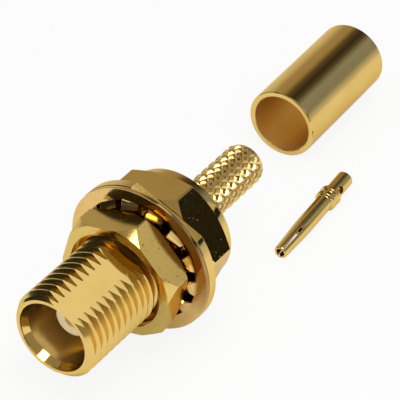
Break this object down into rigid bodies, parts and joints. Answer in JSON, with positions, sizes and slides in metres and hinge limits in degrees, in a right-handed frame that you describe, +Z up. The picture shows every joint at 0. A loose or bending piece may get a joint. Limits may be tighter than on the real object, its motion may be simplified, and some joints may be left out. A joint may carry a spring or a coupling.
{
  "type": "mcx connector",
  "caption": "Gold-plated panel-mount coaxial jack with a push-on mouth, threaded barrel, lock washer, panel nut and crimp stem, beside its loose centre contact and crimp ferrule.",
  "frame": {"origin": "on the connector's axis, in the plane of the mating mouth's rim", "axes": "+X along the connector's axis, out of the mating mouth; +Z up, away from the surface it lies on; +Y towards the loose centre contact"},
  "size_m": [0.0323, 0.0086, 0.0086],
  "materials": {
    "body_gold": "polished gold plating",
    "washer_gold": "gold plating on stamped bronze",
    "nut_gold": "satin gold plating",
    "contact_gold": "polished gold plating",
    "ferrule_gold": "drawn, gold plated",
    "fluoropolymer": "smooth, waxy"
  },
  "bodies": {
    "connector": {"connector_body": "body_gold", "insulator": "fluoropolymer", "centre_contact": "contact_gold", "crimp_ferrule": "ferrule_gold"},
    "washer": {"lock_washer": "washer_gold"},
    "nut": {"panel_nut": "nut_gold"}
  },
  "joints": [
    {"name": "nut_travel", "type": "slide", "parent": "connector", "child": "washer", "axis": [1, 0, 0], "range_m": [0, 0.00494]},
    {"name": "nut_turn", "type": "hinge", "parent": "washer", "child": "nut", "pos_m": [0, 0, 0], "axis": [1, 0, 0], "range_deg": [0, 3560]}
  ],
  "couplings": [
    {"joint": "nut_turn", "follows": "nut_travel", "rad_per_m": 12566}
  ]
}
